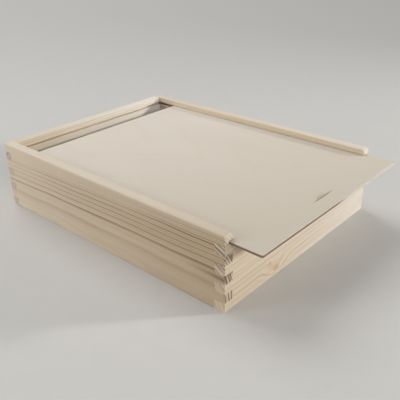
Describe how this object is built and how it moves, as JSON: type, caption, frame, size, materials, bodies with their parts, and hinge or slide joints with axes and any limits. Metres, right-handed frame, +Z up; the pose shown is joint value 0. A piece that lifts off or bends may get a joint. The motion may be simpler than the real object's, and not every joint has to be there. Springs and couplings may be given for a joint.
{
  "type": "sliding lid wooden box",
  "caption": "Shallow finger-jointed pine box with a plywood base and a plywood lid that slides in side grooves and out over a lower front end.",
  "frame": {"origin": "centre of the carcass's underside, level with the surface that the box stands on", "axes": "+X the way the lid slides open, +Z up, +Y to the right for someone who faces the box and pulls its lid"},
  "size_m": [0.358, 0.25, 0.076],
  "materials": {
    "pine": "sanded, unfinished",
    "plywood": "sanded, unfinished",
    "steel": "bright drawn wire"
  },
  "bodies": {
    "carcass": {"left_side": "pine", "right_side": "pine", "back_end": "pine", "front_end": "pine", "base_panel": "plywood", "base_brads": "steel"},
    "lid": {"sliding_lid": "plywood"}
  },
  "joints": [
    {"name": "lid_slide", "type": "slide", "parent": "carcass", "child": "lid", "axis": [1, 0, 0], "range_m": [-0.033, 0.284]}
  ]
}
